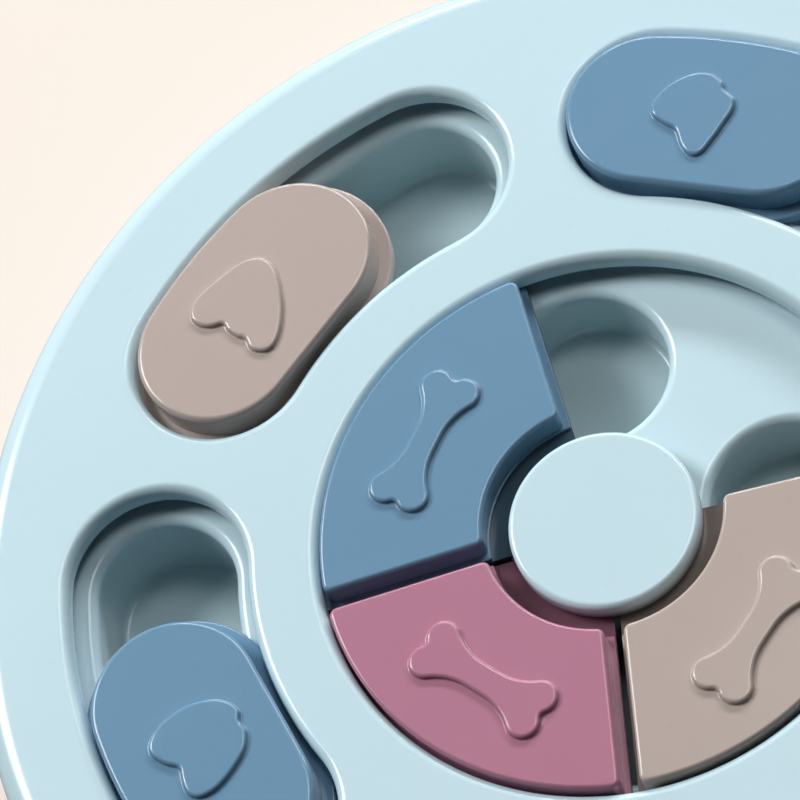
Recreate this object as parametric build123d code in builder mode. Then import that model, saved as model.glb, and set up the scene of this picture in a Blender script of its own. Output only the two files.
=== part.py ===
"""Round dog puzzle feeder: a cup tray under a slotted cover, five sliding covers and three turning tiles.

Units are millimetres, +Z is up and the rubber feet stand on Z = 0.
The sliding covers and the tiles all turn about the Z axis through the origin.
Radii are chained from the hub outward and heights from the feet upward, each with its own clearance.
"""
import os
from math import atan, cos, degrees, hypot, radians, sin, sqrt

from build123d import *

# ---------------------------------------------------------------- heights, from the feet up
foot_stand = 1.5
outer_cup_base = 2.5
outer_cup_depth = 18.0
inner_cup_depth = 14.0
tray_plate = 2.4
tray_edge_depth = 11.6
cup_wall = 2.2
glide = 0.2
flange_thickness = 2.2
deck_thickness = 4.2
skirt_lift = 1.5
outer_cup_bottom = foot_stand
outer_cup_floor = outer_cup_bottom + outer_cup_base
tray_top = outer_cup_floor + outer_cup_depth
tray_under = tray_top - tray_plate
tray_bottom = tray_under - tray_edge_depth
inner_cup_floor = tray_top - inner_cup_depth
inner_cup_bottom = inner_cup_floor - cup_wall
flange_bottom = tray_top + glide
flange_top = flange_bottom + flange_thickness
deck_under = flange_top + glide
deck_top = deck_under + deck_thickness
skirt_bottom = foot_stand + skirt_lift

# ---------------------------------------------------------------- hub
tile_tongue = 1.2
hub_radius = 18.4
hub_drop = 0.9
hub_plate = 2.6
hub_wall = 2.4
hub_fillet = 1.2
hub_boss_radius = 4.0
hub_boss_fit = 0.2
post_wall = 3.8
post_gap = 0.4
hub_top = deck_top - hub_drop
hub_under = hub_top - hub_plate
hub_skirt_bottom = flange_bottom + tile_tongue + glide
post_radius = hub_boss_radius + hub_boss_fit + post_wall
post_top = hub_under - post_gap

# ---------------------------------------------------------------- turning tiles
hub_gap = 4.6
tile_depth = 31.7
tile_start = 99.2
tile_sectors = (88.0, 81.4, 94.4)
tile_inset = 0.6
tile_side_step = 1.2
tile_flange_edge = 3.5
tile_post_fit = 0.4
tile_rise = 1.0
tile_fillet = 0.9
tile_corner = 1.2
tile_wall = 2.4
tile_inner_radius = hub_radius + hub_gap
tile_outer_radius = tile_inner_radius + tile_depth
tile_flange_inner = post_radius + tile_post_fit
tile_flange_outer = tile_outer_radius + tile_flange_edge
tile_top = deck_top + tile_rise

# ---------------------------------------------------------------- sliding covers and their slots
recess_gap = 0.6
rib_wall = 2.4
inner_rib_gap = 3.5
slider_rib_gap = 3.6
slider_length = 56.6
slider_width = 33.8
slider_side_gap = 1.0
slider_end_gap = 0.45
slider_flange_edge = 2.7
slider_travel = 21.8
slider_rise = 2.0
slider_fillet = 0.9
slider_wall = 2.4
flange_fillet = 0.6
recess_radius = tile_outer_radius + recess_gap
inner_rib_radius = tile_flange_outer + inner_rib_gap
slot_radius = inner_rib_radius + rib_wall + slider_rib_gap + slider_flange_edge + slider_width / 2
slot_half_width = slider_width / 2 + slider_side_gap
# a cover's round ends touch its straight hub side and its rim side, which is bent with the ring
slider_spread = 2 * slot_radius - slider_length / 2
slider_bend = 2 * slot_radius * slider_width - (slider_length / 2) ** 2
slider_end_radius = sqrt(slider_spread**2 + slider_bend) - slider_spread
slider_end_run = slider_length / 2 - slider_end_radius
slider_end_shift = slider_end_radius - slider_width / 2
slider_reach = degrees(atan(slider_end_run / (slot_radius + slider_end_shift)))
slot_end_spare = degrees((slot_half_width - slider_end_radius - slider_end_gap) / slot_radius)
slot_arc = slider_travel + 2 * (slider_reach - slot_end_spare)
slider_top = deck_top + slider_rise

# ---------------------------------------------------------------- top cover
outer_rib_gap = 9.8
rim_band = 7.6
skirt_wall = 2.6
rim_fillet = 6.0
lip_fillet = 2.0
boss_radius = 3.6
boss_rib_gap = 6.4
outer_rib_radius = slot_radius + slot_half_width + outer_rib_gap
outer_radius = outer_rib_radius + rib_wall + rim_band
boss_ring = outer_rib_radius - boss_rib_gap - boss_radius

# ---------------------------------------------------------------- cup tray
tray_fit = 0.2
tray_wall = 2.2
cup_ledge = 3.9
outer_cup_run = 21.9
inner_cup_rim = 4.1
hub_cup_gap = 1.1
cup_rim_fillet = 2.0
cup_floor_fillet = 1.2
cup_shell_fillet = 2.0
tray_radius = outer_radius - skirt_wall - tray_fit
outer_cup_half_width = slot_half_width - cup_ledge
outer_cup_arc = degrees(outer_cup_run / slot_radius)
inner_cup_count = 4
inner_cup_radius = (recess_radius - inner_cup_rim - hub_radius - hub_cup_gap) / 2
inner_cup_ring = hub_radius + hub_cup_gap + inner_cup_radius
bay_ring = tile_flange_outer

# ---------------------------------------------------------------- feet
foot_radius = 6.5
foot_seat = 0.8
foot_fillet = 0.6

# ---------------------------------------------------------------- screws
screw_radius = 1.45
core_fit = 0.05
core_spare = 0.4
screw_clearance = 1.7
cover_screw_length = 7.2
hub_screw_length = 6.6
screw_head_radius = 2.9
screw_head_height = 1.8
screw_head_fillet = 0.7
drive_width = 0.8
drive_length = 3.2
drive_depth = 1.0

# ---------------------------------------------------------------- raised figures
figure_height = 1.0
figure_fillet = 0.55
bone_length = 22.9
bone_lobe_spread = 5.8
bone_lobe_radius = 3.3
bone_shaft = 5.6
bone_waist_fillet = 12.0
bone_notch_fillet = 1.2
bone_shifts = (1.6, 0.35, -4.65)
bone_turns = (3.4, -0.9, 8.3)
bone_ring = (tile_inner_radius + tile_outer_radius) / 2

# outlines of the figures on the sliding covers: along the slot, and outward from the board's centre
pad_points = (
    (-8.1, 2.4), (-5.9, -2.4), (-2.8, -6.0), (0.5, -9.0), (5.6, -11.3), (8.6, -9.5), (7.9, -5.3),
    (8.5, -1.4), (7.6, 1.5), (10.5, 3.8), (10.2, 7.4), (5.8, 9.7), (-2.4, 7.7),
)
heart_points = (
    (1.9, 7.8), (-1.3, 7.0), (-2.5, 4.9), (-5.4, 2.6), (-5.5, -0.6), (-3.6, -7.0), (-1.2, -10.4),
    (1.4, -10.2), (4.0, -7.0), (4.7, -4.6), (8.4, -4.3), (10.7, -1.2), (9.4, 3.2), (5.1, 6.5),
)
wide_heart_points = (
    (-7.2, -7.4), (-4.3, -10.4), (-1.2, -10.0), (1.8, -9.9), (5.2, -8.0), (7.7, -3.7), (9.2, 1.2),
    (7.4, 4.8), (4.6, 5.1), (1.4, 4.0), (-1.4, 6.8), (-5.2, 8.1), (-7.6, 5.0), (-8.3, -2.6),
)

# ---------------------------------------------------------------- places round the board
# three slots stand closer together, and the other two share what is left of the ring
slot_start = 58.2
close_pitch = 68.0
close_steps = 2
wide_steps = 3
wide_pitch = (360 - close_steps * close_pitch) / wide_steps
slot_pitches = [close_pitch] * close_steps + [wide_pitch] * wide_steps
slot_angles = [slot_start + sum(slot_pitches[:number]) for number in range(len(slot_pitches))]
boss_angles = [angle + pitch / 2 for angle, pitch in zip(slot_angles, slot_pitches)]
cup_angles = [angle - (slot_arc - outer_cup_arc) / 2 for angle in slot_angles]
bay_angles = [angle + slider_travel for angle in slot_angles]
slider_stop = slider_travel / 2
slider_rests = (slider_stop, 9.8, 7.9, slider_stop, slider_stop)
tile_angles = [tile_start + sum(tile_sectors[:number]) + sector / 2 for number, sector in enumerate(tile_sectors)]


def seat(height, angle=0.0, radius=0.0):
    """Level plane at a height, its X axis turned outward and its origin moved out along it."""
    outward = (cos(radians(angle)), sin(radians(angle)), 0)
    return Plane(origin=(radius * outward[0], radius * outward[1], height), x_dir=outward, z_dir=(0, 0, 1))


def around(angles, radius):
    """Points at the given angles on a circle about the origin."""
    return [(radius * cos(radians(angle)), radius * sin(radians(angle))) for angle in angles]


def ring_slot(centre_angle, arc_size, half_width):
    """Bent slot outline with round ends, its centre line on the slot circle."""
    SlotArc(CenterArc((0, 0), slot_radius, centre_angle - arc_size / 2, arc_size), 2 * half_width)


def cover_outline(grow):
    """Outline of a sliding cover, its hub side straight and its rim side bent about the origin, grown all round."""
    half_width = slider_width / 2 + grow
    end_radius = slider_end_radius + grow
    centre_reach = hypot(slot_radius + slider_end_shift, slider_end_run)
    scale = (slot_radius + half_width) / centre_reach
    corner = ((slot_radius + slider_end_shift) * scale - slot_radius, slider_end_run * scale)
    with BuildSketch(mode=Mode.PRIVATE) as outline:
        with BuildLine():
            Line((-half_width, -slider_end_run), (-half_width, slider_end_run))
            tip = (slider_end_shift, slider_end_run + end_radius)
            ThreePointArc((-half_width, slider_end_run), tip, corner)
            ThreePointArc(corner, (half_width, 0), (corner[0], -corner[1]))
            ThreePointArc((corner[0], -corner[1]), (tip[0], -tip[1]), (-half_width, -slider_end_run))
        make_face()
    add(outline.sketch)


def ring_piece(start, end, inner, outer):
    """Part of a ring between two angles and two radii."""
    middle = (start + end) / 2
    Circle(outer)
    if inner:
        Circle(inner, mode=Mode.SUBTRACT)
    Polygon((0, 0), *around((start, middle, end), 2 * outer), align=None, mode=Mode.INTERSECT)


def tile_wedge(sector, inner, outer, inset):
    """Ring sector along the X axis, its straight sides moved in parallel by the inset."""
    half = radians(sector / 2)
    apex = inset / sin(half)
    reach = 2 * outer
    corner = (apex + reach * cos(half), reach * sin(half))
    Circle(outer)
    Circle(inner, mode=Mode.SUBTRACT)
    Polygon((apex, 0), corner, (corner[0], -corner[1]), align=None, mode=Mode.INTERSECT)


def edges_at(part, height):
    """Edges of a part that lie flat at one height."""
    return part.edges().filter_by_position(Axis.Z, height, height)


def inside(radius):
    """Test for edges that start within a radius of the Z axis."""
    return lambda edge: Vector((edge @ 0).X, (edge @ 0).Y).length < radius


def save(part, label):
    """Name a finished piece and write it to its own file."""
    part.label = label
    export_step(part, "parts/%s.step" % label)


os.makedirs("parts", exist_ok=True)

# ================================================================ top cover
with BuildPart() as top_cover:
    with BuildSketch(Plane.XY.offset(skirt_bottom)):
        Circle(outer_radius)
    extrude(amount=deck_top - skirt_bottom)
    fillet(edges_at(top_cover, deck_top), rim_fillet)
    with BuildSketch(Plane.XY.offset(skirt_bottom)):
        Circle(outer_radius - skirt_wall)
    extrude(amount=deck_under - skirt_bottom, mode=Mode.SUBTRACT)
    with BuildSketch(Plane.XY.offset(tray_top)):
        for rib_radius in (inner_rib_radius, outer_rib_radius):
            with BuildSketch(mode=Mode.PRIVATE) as rib:
                Circle(rib_radius + rib_wall)
                Circle(rib_radius, mode=Mode.SUBTRACT)
            add(rib.sketch)
        with Locations(*around(boss_angles, boss_ring)):
            Circle(boss_radius)
    extrude(amount=deck_under - tray_top)
    with BuildSketch(Plane.XY.offset(tray_top)):
        with Locations(*around(boss_angles, boss_ring)):
            Circle(screw_radius + core_fit)
    extrude(amount=cover_screw_length - tray_plate + core_spare, mode=Mode.SUBTRACT)
    with BuildSketch(Plane.XY.offset(deck_under)):
        Circle(recess_radius)
        for angle in slot_angles:
            ring_slot(angle, slot_arc, slot_half_width)
    extrude(amount=deck_thickness, mode=Mode.SUBTRACT)
    fillet(edges_at(top_cover, deck_top).filter_by(inside(outer_rib_radius)), lip_fillet)
save(top_cover.part, "top_cover")

# ================================================================ cup tray
with BuildPart() as cup_tray:
    with BuildSketch(Plane.XY.offset(tray_bottom)):
        Circle(tray_radius)
    extrude(amount=tray_edge_depth + tray_plate)
    with BuildSketch(Plane.XY.offset(tray_bottom)):
        Circle(tray_radius - tray_wall)
    extrude(amount=tray_edge_depth, mode=Mode.SUBTRACT)
    with BuildSketch(Plane.XY.offset(outer_cup_bottom)):
        for angle in cup_angles:
            ring_slot(angle, outer_cup_arc, outer_cup_half_width + cup_wall)
    extrude(amount=tray_under - outer_cup_bottom)
    fillet(edges_at(cup_tray, outer_cup_bottom), cup_shell_fillet)
    with BuildSketch(Plane.XY.offset(inner_cup_bottom)):
        with PolarLocations(inner_cup_ring, inner_cup_count):
            Circle(inner_cup_radius + cup_wall)
    extrude(amount=tray_under - inner_cup_bottom)
    fillet(edges_at(cup_tray, inner_cup_bottom), cup_shell_fillet)
    with BuildSketch(Plane.XY.offset(outer_cup_floor)):
        for angle in cup_angles:
            ring_slot(angle, outer_cup_arc, outer_cup_half_width)
    extrude(amount=outer_cup_depth, mode=Mode.SUBTRACT)
    fillet(edges_at(cup_tray, outer_cup_floor), cup_floor_fillet)
    with BuildSketch(Plane.XY.offset(inner_cup_floor)):
        with PolarLocations(inner_cup_ring, inner_cup_count):
            Circle(inner_cup_radius)
    extrude(amount=inner_cup_depth, mode=Mode.SUBTRACT)
    fillet(edges_at(cup_tray, inner_cup_floor), cup_floor_fillet)
    fillet(edges_at(cup_tray, tray_top).filter_by(inside(outer_rib_radius)), cup_rim_fillet)
    with BuildSketch(Plane.XY.offset(tray_top)):
        Circle(post_radius)
        Circle(hub_boss_radius + hub_boss_fit, mode=Mode.SUBTRACT)
    extrude(amount=post_top - tray_top)
    with BuildSketch(Plane.XY.offset(tray_under)):
        with Locations((0, 0), *around(boss_angles, boss_ring)):
            Circle(screw_clearance)
    extrude(amount=tray_plate, mode=Mode.SUBTRACT)
    with BuildSketch(Plane.XY.offset(outer_cup_bottom)):
        with Locations(*around(cup_angles, slot_radius)):
            Circle(foot_radius)
    extrude(amount=foot_seat, mode=Mode.SUBTRACT)


def save_bay(label, start, end, inner, outer):
    """Write the part of the tray that lies between two angles and two radii."""
    with BuildPart() as bay:
        with BuildSketch(Plane.XY.offset(outer_cup_bottom)):
            ring_piece(start, end, inner, outer)
        extrude(amount=post_top - outer_cup_bottom)
        add(cup_tray.part, mode=Mode.INTERSECT)
    save(bay.part, label)


# the tray is one moulding, written as one bay round each cup
bay_starts = [bay_angles[-1] - 360, *bay_angles[:-1]]
for number, (start, end) in enumerate(zip(bay_starts, bay_angles), start=1):
    save_bay("outer_bay_%d" % number, start, end, bay_ring, tray_radius)
inner_bay_arc = 360 / inner_cup_count
for number in range(inner_cup_count):
    start = (number - 0.5) * inner_bay_arc
    save_bay("inner_bay_%d" % (number + 1), start, start + inner_bay_arc, 0, bay_ring)


# ================================================================ sliding covers
def make_slider(label, turn, points):
    """Hollow oblong cap on a flange that the cover holds down, with a raised heart or pad on top."""
    with BuildPart() as slider:
        with BuildSketch(seat(flange_bottom, turn, slot_radius)):
            cover_outline(slider_flange_edge)
        extrude(amount=flange_thickness)
        fillet(edges_at(slider, flange_top), flange_fillet)
        with BuildSketch(seat(flange_bottom, turn, slot_radius)):
            cover_outline(0)
        extrude(amount=slider_top - flange_bottom)
        fillet(edges_at(slider, slider_top), slider_fillet)
        with BuildSketch(seat(flange_bottom, turn, slot_radius)):
            cover_outline(-slider_wall)
        extrude(amount=slider_top - flange_bottom - slider_wall, mode=Mode.SUBTRACT)
        with BuildSketch(seat(slider_top, turn, slot_radius)):
            with BuildLine():
                Spline(*[(outward, along) for along, outward in points], periodic=True)
            make_face()
        extrude(amount=figure_height)
        fillet(edges_at(slider, slider_top + figure_height), figure_fillet)
    save(slider.part, label)


slider_figures = (heart_points, pad_points, wide_heart_points, pad_points, heart_points)
slider_places = zip(slot_angles, slider_rests, slider_figures)
for number, (slot_angle, rest_turn, figure) in enumerate(slider_places, start=1):
    make_slider("slider_%d" % number, slot_angle + rest_turn, figure)


# ================================================================ turning tiles
def make_tile(label, turn, sector, bone_shift, bone_turn):
    """Hollow quarter tile: a thin tongue round the post, a flange under the cover, and a raised bone on top."""
    with BuildPart() as tile:
        with BuildSketch(seat(flange_bottom, turn)):
            tile_wedge(sector, tile_flange_inner, tile_flange_outer, tile_inset)
        extrude(amount=tile_tongue)
        with BuildSketch(seat(flange_bottom, turn)):
            tile_wedge(sector, tile_inner_radius, tile_flange_outer, tile_inset)
        extrude(amount=flange_thickness)
        with BuildSketch(seat(flange_bottom, turn)) as body:
            tile_wedge(sector, tile_inner_radius, tile_outer_radius, tile_inset + tile_side_step)
            fillet(body.vertices(), tile_corner)
        extrude(amount=tile_top - flange_bottom)
        fillet(edges_at(tile, tile_top), tile_fillet)
        with BuildSketch(seat(flange_bottom, turn)):
            cavity_inner = tile_inner_radius + tile_wall
            cavity_outer = tile_outer_radius - tile_wall
            tile_wedge(sector, cavity_inner, cavity_outer, tile_inset + tile_side_step + tile_wall)
        extrude(amount=tile_top - flange_bottom - tile_wall, mode=Mode.SUBTRACT)
        with BuildSketch(seat(tile_top, turn + bone_shift, bone_ring).rotated((0, 0, bone_turn))) as bone:
            Rectangle(bone_shaft, bone_length)
            with GridLocations(bone_lobe_spread, bone_length, 2, 2):
                Circle(bone_lobe_radius)
            waist = bone.vertices().filter_by(lambda corner: abs(corner.Y) < bone_length / 2)
            fillet(waist, bone_waist_fillet)
            notch = bone.vertices().filter_by(lambda corner: abs(corner.X) < bone_shaft / 4)
            fillet(notch, bone_notch_fillet)
        extrude(amount=figure_height)
        fillet(edges_at(tile, tile_top + figure_height), figure_fillet)
    save(tile.part, label)


tile_places = zip(tile_angles, tile_sectors, bone_shifts, bone_turns)
for number, (tile_angle, sector, bone_shift, bone_turn) in enumerate(tile_places, start=1):
    make_tile("tile_%d" % number, tile_angle, sector, bone_shift, bone_turn)

# ================================================================ hub cap
with BuildPart() as hub_cap:
    with BuildSketch(Plane.XY.offset(hub_skirt_bottom)):
        Circle(hub_radius)
    extrude(amount=hub_top - hub_skirt_bottom)
    fillet(edges_at(hub_cap, hub_top), hub_fillet)
    with BuildSketch(Plane.XY.offset(hub_skirt_bottom)):
        Circle(hub_radius - hub_wall)
    extrude(amount=hub_under - hub_skirt_bottom, mode=Mode.SUBTRACT)
    with BuildSketch(Plane.XY.offset(tray_top)):
        Circle(hub_boss_radius)
    extrude(amount=hub_under - tray_top)
    with BuildSketch(Plane.XY.offset(tray_top)):
        Circle(screw_radius + core_fit)
    extrude(amount=hub_screw_length - tray_plate + core_spare, mode=Mode.SUBTRACT)
save(hub_cap.part, "hub_cap")


# ================================================================ screws
def make_screw(label, x, y, length):
    """Round-headed self-tapping screw driven up from below, with a cross drive in its head."""
    with BuildPart() as screw:
        with BuildSketch(Plane((x, y, tray_under - screw_head_height))):
            Circle(screw_head_radius)
        extrude(amount=screw_head_height)
        fillet(edges_at(screw, tray_under - screw_head_height), screw_head_fillet)
        with BuildSketch(Plane((x, y, tray_under))):
            Circle(screw_radius)
        extrude(amount=length)
        with BuildSketch(Plane((x, y, tray_under - screw_head_height))):
            Rectangle(drive_length, drive_width)
            Rectangle(drive_width, drive_length)
        extrude(amount=drive_depth, mode=Mode.SUBTRACT)
    save(screw.part, label)


make_screw("hub_screw", 0, 0, hub_screw_length)
for number, (x, y) in enumerate(around(boss_angles, boss_ring), start=1):
    make_screw("cover_screw_%d" % number, x, y, cover_screw_length)

# ================================================================ rubber feet
for number, (x, y) in enumerate(around(cup_angles, slot_radius), start=1):
    with BuildPart() as foot:
        with BuildSketch(Plane((x, y, 0))):
            Circle(foot_radius)
        extrude(amount=outer_cup_bottom + foot_seat)
        fillet(edges_at(foot, 0), foot_fillet)
    save(foot.part, "foot_%d" % number)
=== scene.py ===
from math import atan2, cos, degrees, pi, radians, sin, sqrt

import bmesh
import bpy
import numpy as np
from mathutils import Matrix, Vector
from mathutils.geometry import delaunay_2d_cdt


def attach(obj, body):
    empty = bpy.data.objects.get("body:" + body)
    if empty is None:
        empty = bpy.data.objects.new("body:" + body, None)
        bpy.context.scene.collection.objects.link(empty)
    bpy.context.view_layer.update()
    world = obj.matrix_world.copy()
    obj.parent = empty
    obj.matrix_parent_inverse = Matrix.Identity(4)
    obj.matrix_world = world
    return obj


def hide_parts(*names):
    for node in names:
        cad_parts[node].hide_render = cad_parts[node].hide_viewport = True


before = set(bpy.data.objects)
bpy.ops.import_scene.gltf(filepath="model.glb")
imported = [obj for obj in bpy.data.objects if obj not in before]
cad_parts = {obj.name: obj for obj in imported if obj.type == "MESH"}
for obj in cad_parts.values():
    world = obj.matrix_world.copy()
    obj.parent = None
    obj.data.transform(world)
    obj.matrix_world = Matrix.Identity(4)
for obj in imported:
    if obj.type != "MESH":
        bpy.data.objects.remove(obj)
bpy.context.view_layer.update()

bl_info = {
    "name": "Dog puzzle feeder",
    "version": (1, 0, 0),
    "blender": (4, 5, 0),
    "location": "View3D > Sidebar > Feeder",
    "description": "Builds a round dog puzzle feeder: slotted cover, cup tray, sliding covers and turning tiles",
    "category": "Object",
}

MM = 0.001
SAME_POINT = 0.0001 * MM
SHARP_CORNER = radians(33)


# ---- settings
def number_property(name, description, value, **options):
    """A number setting."""
    return bpy.props.FloatProperty(name=name, description=description, default=value, **options)


def vector_property(name, description, value, subtype, **limits):
    """A setting of two or three numbers."""
    return bpy.props.FloatVectorProperty(
        name=name, description=description, default=value, size=len(value), subtype=subtype, **limits
    )


def colour_property(name, description, *display):
    """A colour setting whose default is given in 0 to 255 display values."""
    linear = [((value / 255 + 0.055) / 1.055) ** 2.4 for value in display]
    return vector_property(name, description, linear, "COLOR", min=0, max=1)


def size_mm(name, description, millimetres):
    """A length setting whose default is given in millimetres."""
    return number_property(name, description, millimetres * MM, unit="LENGTH", precision=4)


def angle_property(name, description, angle):
    """An angle setting whose default is given in degrees."""
    return number_property(name, description, radians(angle), subtype="ANGLE")


def lamp_properties(kind, purpose, watts, size, place):
    """Settings kind_power, kind_size and kind_place of a lamp, in watts and metres."""
    name, lamp = kind.capitalize() + " lamp", "of the lamp " + purpose
    return {
        kind + "_power": number_property(name, "Power " + lamp, watts, subtype="POWER", min=0),
        kind + "_size": vector_property(name + " size", "Width and height " + lamp, size, "XYZ_LENGTH", min=0.01),
        kind + "_place": vector_property(name + " place", "Middle " + lamp, place, "TRANSLATION"),
    }


class FeederHeights(bpy.types.PropertyGroup):
    """Heights above the plane that the feet stand on."""

    cup_underside: size_mm("Outer cup underside", "Lowest plastic, over the feet", 1.5)
    outer_floor: size_mm("Outer cup floor", "Under the sliding covers", 4.0)
    inner_underside: size_mm("Inner cup underside", "Bottom of the shells", 5.8)
    inner_floor: size_mm("Inner cup floor", "In the round cups", 8.0)
    tray_bottom: size_mm("Tray edge", "Lower edge of the tray", 8.0)
    tray_under: size_mm("Tray underside", "Below the plate", 19.6)
    tray_top: size_mm("Tray top", "Where covers and tiles slide", 22.0)
    flange_bottom: size_mm("Flange underside", "Below the moving pieces", 22.2)
    tongue_top: size_mm("Tongue top", "Thin part of a tile's flange", 23.4)
    flange_top: size_mm("Flange top", "Flanges held by the deck", 24.4)
    deck_under: size_mm("Deck underside", "Below the slotted deck", 24.6)
    deck_top: size_mm("Deck top", "Flat face round the slots", 28.8)
    skirt_bottom: size_mm("Skirt edge", "Lower edge of the skirt", 3.0)
    slider_top: size_mm("Sliding cover top", "Flat face of the covers", 30.8)
    tile_top: size_mm("Tile top", "Flat face of the tiles", 29.8)
    hub_top: size_mm("Hub top", "Flat face of the cap", 27.9)
    hub_under: size_mm("Hub underside", "Inside of the cap", 25.3)
    hub_edge: size_mm("Hub edge", "Lower edge of the cap", 23.6)
    hub_hole_end: size_mm("Hub hole end", "End of the cap's screw hole", 26.6)
    boss_hole_end: size_mm("Boss hole end", "End of the screw holes", 27.2)
    post_top: size_mm("Post top", "Inside the cap", 24.9)


class FeederPlan(bpy.types.PropertyGroup):
    """Radii, widths and fillets as seen from above."""

    outer_radius: size_mm("Board radius", "Outside of the skirt", 125)
    rim_fillet: size_mm("Rim fillet", "Rounding between deck and skirt", 6)
    skirt_wall: size_mm("Skirt wall", "Wall of the skirt", 2.6)
    inner_rib: size_mm("Inner rib radius", "Inside of the rib round the recess", 61.7)
    outer_rib: size_mm("Outer rib radius", "Inside of the rib round the slots", 115.0)
    boss_circle: size_mm("Boss circle", "Radius to the screw bosses", 105.0)
    boss_radius: size_mm("Boss radius", "Outside of a boss", 3.6)
    screw_core: size_mm("Screw cores", "Radius of the holes that hold the screws", 1.5)
    screw_hole: size_mm("Screw holes", "Radius of the holes that the screws pass", 1.7)
    tray_radius: size_mm("Tray radius", "Outside of the tray", 122.2)
    tray_edge: size_mm("Tray edge wall", "Wall at the tray's edge", 2.2)
    recess_radius: size_mm("Recess radius", "Round opening for the tiles", 55.3)
    lip_fillet: size_mm("Lip fillet", "Rounding of the openings in the deck", 2.0)
    slot_radius: size_mm("Slot circle", "Radius to the slots' middle line", 87.3)
    slot_half_width: size_mm("Slot half width", "Across the ring", 17.9)
    cup_half_width: size_mm("Outer cup half width", "Across the ring", 14.0)
    inner_cup_ring: size_mm("Inner cup circle", "Radius to the round cups", 35.35)
    inner_cup_radius: size_mm("Inner cup radius", "Radius of a round cup", 15.85)
    cup_fillet: size_mm("Cup rim fillet", "Rounding of the cup rims", 2.0)
    cup_wall: size_mm("Cup wall", "Wall thickness of the cups", 2.2)
    hub_radius: size_mm("Hub radius", "Radius of the middle cap", 18.4)
    hub_boss: size_mm("Hub boss", "Boss inside the middle cap", 4.0)
    post_radius: size_mm("Post radius", "Outside of the post", 8.0)
    post_bore: size_mm("Post bore", "Inside of the post", 4.2)
    tile_inner: size_mm("Tile inner radius", "Inner edge of a tile body", 23.0)
    tile_outer: size_mm("Tile outer radius", "Outer edge of a tile body", 54.7)
    tile_inset: size_mm("Tile inset", "From a sector's side to the tile body", 1.8)
    flange_inner: size_mm("Tile flange inner radius", "Inner edge of the flange's thick part", 22.6)
    tongue_inner: size_mm("Tile tongue inner radius", "Inner edge of the flange's thin part", 8.4)
    flange_outer: size_mm("Tile flange outer radius", "Outer edge of a tile's flange", 58.2)
    flange_inset: size_mm("Tile flange inset", "From a sector's side to the flange", 0.6)
    slider_length: size_mm("Sliding cover length", "Along the slot", 56.6)
    slider_width: size_mm("Sliding cover width", "Across the slot", 33.8)
    slider_flange: size_mm("Sliding cover flange", "How far it reaches past a cover", 2.7)
    wall: size_mm("Shell wall", "Wall of covers, tiles, middle cap and ribs", 2.4)
    figure_height: size_mm("Figure height", "Of the hearts, pads and bones", 1.0)
    foot_radius: size_mm("Foot radius", "Radius of a rubber foot", 6.5)
    foot_seat: size_mm("Foot seat", "Depth of the seats of the feet", 0.8)


class FeederFinish(bpy.types.PropertyGroup):
    """Colours and surface texture of the pieces."""

    pale: colour_property("Pale blue", "Cover, tray and hub plastic", 196, 222, 231)
    blue: colour_property("Dusty blue", "Blue covers and tile", 108, 146, 174)
    taupe: colour_property("Taupe", "Taupe covers and tile", 182, 168, 161)
    pink: colour_property("Dusty pink", "Pink cover and tile", 178, 122, 144)
    # painted shade: a greyer, darker plastic colour that stands in for the shade inside the cups
    painted_shade: colour_property("Cup film", "Plastic in the cups under a film", 190, 212, 218)
    rubber: colour_property("Foot rubber", "Anti-slip feet", 206, 210, 212)
    steel: colour_property("Screw steel", "Zinc-plated screws", 196, 198, 200)
    plastic_roughness: number_property("Plastic roughness", "Where the plastic is smoothest", 0.18, min=0, max=1)
    grain_size: size_mm("Grain size", "Size of the mould's texture", 0.35)
    grain_depth: size_mm("Grain depth", "Depth of the mould's texture", 0.0015)


class FeederStage(bpy.types.PropertyGroup):
    """Camera, floor and lamps."""

    camera_turn: angle_property("Camera turn", "From the aim point to the camera, from +X to +Y", 289.27)
    camera_height: angle_property("Camera height", "Camera above the horizon", 59.99)
    camera_roll: angle_property("Camera roll", "About the line of sight", -28.194)
    camera_distance: size_mm("Camera distance", "From the camera to the aim point", 771.589)
    camera_aim: vector_property("Camera aim", "Point it looks at", (-0.03594, 0.03290, 0.0288), "TRANSLATION")
    camera_lens: number_property("Focal length", "In millimetres, on a 36 mm sensor", 180.0, min=1)
    floor: colour_property("Floor", "Plain floor", 249, 239, 229)
    world_level: number_property("Sky level", "Even light from all sides", 0.02, min=0)
    world_tint: colour_property("Sky colour", "Colour of the even light", 255, 246, 238)
    # name, purpose, watts, width and height, and place of each lamp
    for lamp in (
        ("key", "that is large and soft", 41.0, (0.9, 0.9), (-1.48, 0.855, 1.54)),
        ("strip", "that is low and wide", 32.0, (2.0, 0.26), (0.45, 1.6, 0.78)),
        ("top", "that is weak and high above", 11.0, (0.8, 0.8), (0.43, 0.75, 2.13)),
        ("under", "below the floor", 25.0, (1.4, 1.4), (0.0, 0.0, -2.0)),
    ):
        __annotations__.update(lamp_properties(*lamp))
    del lamp


# ---- places round the board, in degrees
SLOT_PITCHES = (68.0, 68.0, 224 / 3, 224 / 3, 224 / 3)
SLOT_ANGLES = [58.2 + sum(SLOT_PITCHES[:number]) for number in range(5)]
BOSS_ANGLES = [angle + pitch / 2 for angle, pitch in zip(SLOT_ANGLES, SLOT_PITCHES)]
SLOT_ARC = 36.0184
CUP_ARC = 14.3732
CUP_ANGLES = [angle - (SLOT_ARC - CUP_ARC) / 2 for angle in SLOT_ANGLES]
# each sliding cover's angle from the middle of its slot at rest, its figure and its colour
SLIDERS = (
    (10.9, "heart", "blue"), (9.8, "pad", "taupe"), (7.9, "wide heart", "blue"), (10.9, "pad", "pink"),
    (10.9, "heart", "taupe"),
)
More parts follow.
